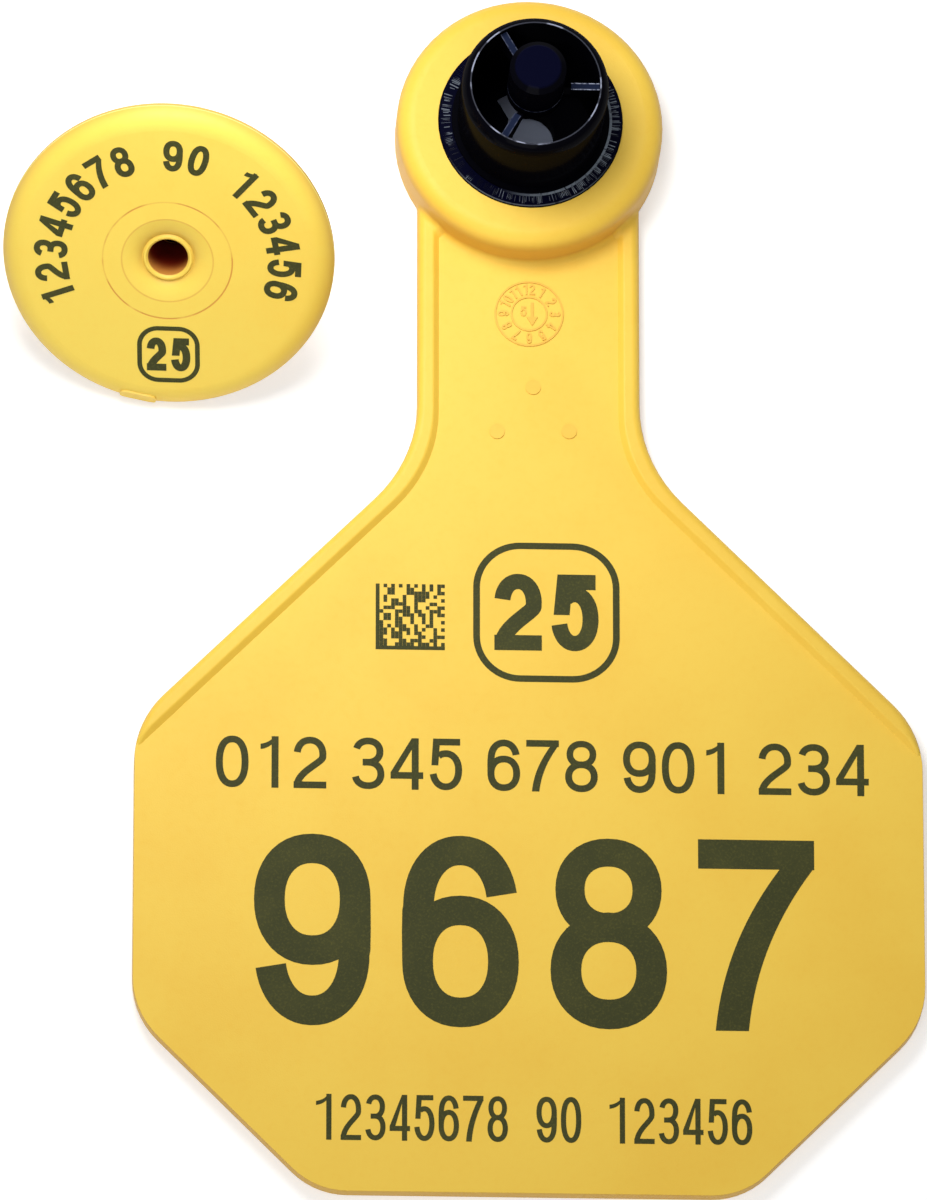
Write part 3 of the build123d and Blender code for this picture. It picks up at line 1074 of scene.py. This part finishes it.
for index, spot in enumerate(DOT_PLACES, 1):
    film(f"raised_dot_{index}", [[disc(DOT_RADIUS, steps=28)]], on_panel(*spot), MARK_HEIGHT,
         shaded_dot_plastic)

# %% [markdown]
# ## The print on the button
#
# A line of small figures runs round the upper half of the disc, and a small framed number stands
# below the hole. Each figure is turned about the middle of the disc to its own place on the arc.

# %% Print on the button
ARC_SIGNS = "12345678 90 123456"
ARC_FIGURES = {"height": 3.3, "width": 1.9, "pitch": 2, "stroke": 0.6}
ARC_RADIUS = 11.35
ARC_START = 200.8
ARC_STEP = 12.68
BUTTON_BADGE = {"size": 6.1, "line_width": 0.46, "height": 3.6, "width": 1.9, "pitch": 2.35,
                "stroke": 0.75}
BUTTON_BADGE_PLACE = (0, -10.2)

curved = []
for index, sign in enumerate(ARC_SIGNS):
    if sign != " ":
        number = spread(sign, **ARC_FIGURES)
        curved += on_circle(number, ARC_RADIUS, ARC_START - ARC_STEP * index)
film("button_number", curved, button_face, INK_HEIGHT, ink)

button_badge = moved(framed_number(BADGE_SIGNS, **BUTTON_BADGE), BUTTON_BADGE_PLACE)
film("button_badge", button_badge, button_face, INK_HEIGHT, ink)

# %% [markdown]
# ## The gate's mark
#
# The plastic entered the mould at the button's rim, and the trimmed gate leaves a small flat
# there. It is a thin plate, laid on the rounded shoulder and sunk into it, so only its crisp
# inner edge and its ends stand out.

# %% Gate mark
GATE_BEARING = math.radians(258.5)
GATE_SLOPE = math.radians(42)
GATE_REACH = 15.55
GATE_HEIGHT = 1.5
GATE_HALVES = (1.8, 0.75)
GATE_FULLNESS = 5
GATE_PROUD = 0.06 * MM
GATE_SINK = 0.35 * MM

gate_out = face_x * math.cos(GATE_BEARING) + face_y * math.sin(GATE_BEARING)
gate_normal = face_normal * math.cos(GATE_SLOPE) + gate_out * math.sin(GATE_SLOPE)
gate_along = face_normal.cross(gate_out)
gate_axes = Matrix((gate_along, gate_normal.cross(gate_along), gate_normal)).transposed()
gate_place = BUTTON_ORIGIN + gate_out * GATE_REACH + face_normal * GATE_HEIGHT
gate_frame = Matrix.Translation(gate_place * MM) @ gate_axes.to_4x4()
gate_outline = arc((0, 0), GATE_HALVES, 0, 360, steps=32, fullness=GATE_FULLNESS)[:-1]
film("gate_mark", [[gate_outline]], gate_frame, GATE_PROUD, button_plastic, GATE_SINK)

# %% [markdown]
# ## Scores on the cup's flange
#
# The flange was trimmed from its runner by hand, and its upper face is scored across from the
# step outwards. Geometry Nodes set a thin ridge at some points of a circle, and seeded chances
# give each its own place, length, width and slant. Their pale patches are painted glints.

# %% Scores on the flange
FLANGE_TOP = 6.55 * MM
WIDTH_SHARES = (0.3, 1.4)
LENGTH_SHARES = (0.45, 1.0)
EITHER_WAY = (-1.0, 1.0)

flange = Recipe("flange_scores", {
    "Places": 340, "Share kept": 0.6, "Circle radius": 8.3 * MM, "Length": 1.0 * MM,
    "Width": 0.1 * MM, "Height": 0.08 * MM, "Slant": 0.08, "Shift": 0.12 * MM, "Seed": 5})
ring = flange.add("GeometryNodeMeshCircle", None, {
    "Vertices": flange.size("Places"), "Radius": flange.size("Circle radius")})
ridge = flange.add("GeometryNodeMeshCylinder", None, {
    "Vertices": 6, "Radius": 0.5, "Depth": 1.0})
ring_point = flange.add("GeometryNodeInputPosition")
outward = flange.add("ShaderNodeVectorMath", {"operation": "NORMALIZE"}, {0: ring_point})
shift = flange.add("ShaderNodeVectorMath", {"operation": "SCALE"}, {
    0: outward, "Scale": flange.times(flange.draw(*EITHER_WAY, seed=31), flange.size("Shift"))})
places = flange.add("GeometryNodeSetPosition", None, {"Geometry": ring, "Offset": shift})
radial = flange.add("FunctionNodeAlignEulerToVector", {"axis": "Z"}, {"Vector": ring_point})
slant = flange.add("ShaderNodeCombineXYZ", None, {
    2: flange.times(flange.draw(*EITHER_WAY, seed=41), flange.size("Slant"))})
turned = flange.add("FunctionNodeRotateEuler", None, {"Rotation": radial, "Rotate By": slant})
ridge_chance = flange.kept()
width_draw = flange.draw(*WIDTH_SHARES, seed=21)
ridge_size = flange.add("ShaderNodeCombineXYZ", None, {
    0: flange.times(width_draw, flange.size("Height")),
    1: flange.times(width_draw, flange.size("Width")),
    2: flange.times(flange.draw(*LENGTH_SHARES, seed=11), flange.size("Length"))})
ridges = flange.add("GeometryNodeInstanceOnPoints", None, {
    "Points": places, "Selection": ridge_chance, "Instance": ridge, "Rotation": turned,
    "Scale": ridge_size})
flange.make("flange_scores", ridges, glinting_score_plastic, Matrix.Translation((0, 0, FLANGE_TOP)))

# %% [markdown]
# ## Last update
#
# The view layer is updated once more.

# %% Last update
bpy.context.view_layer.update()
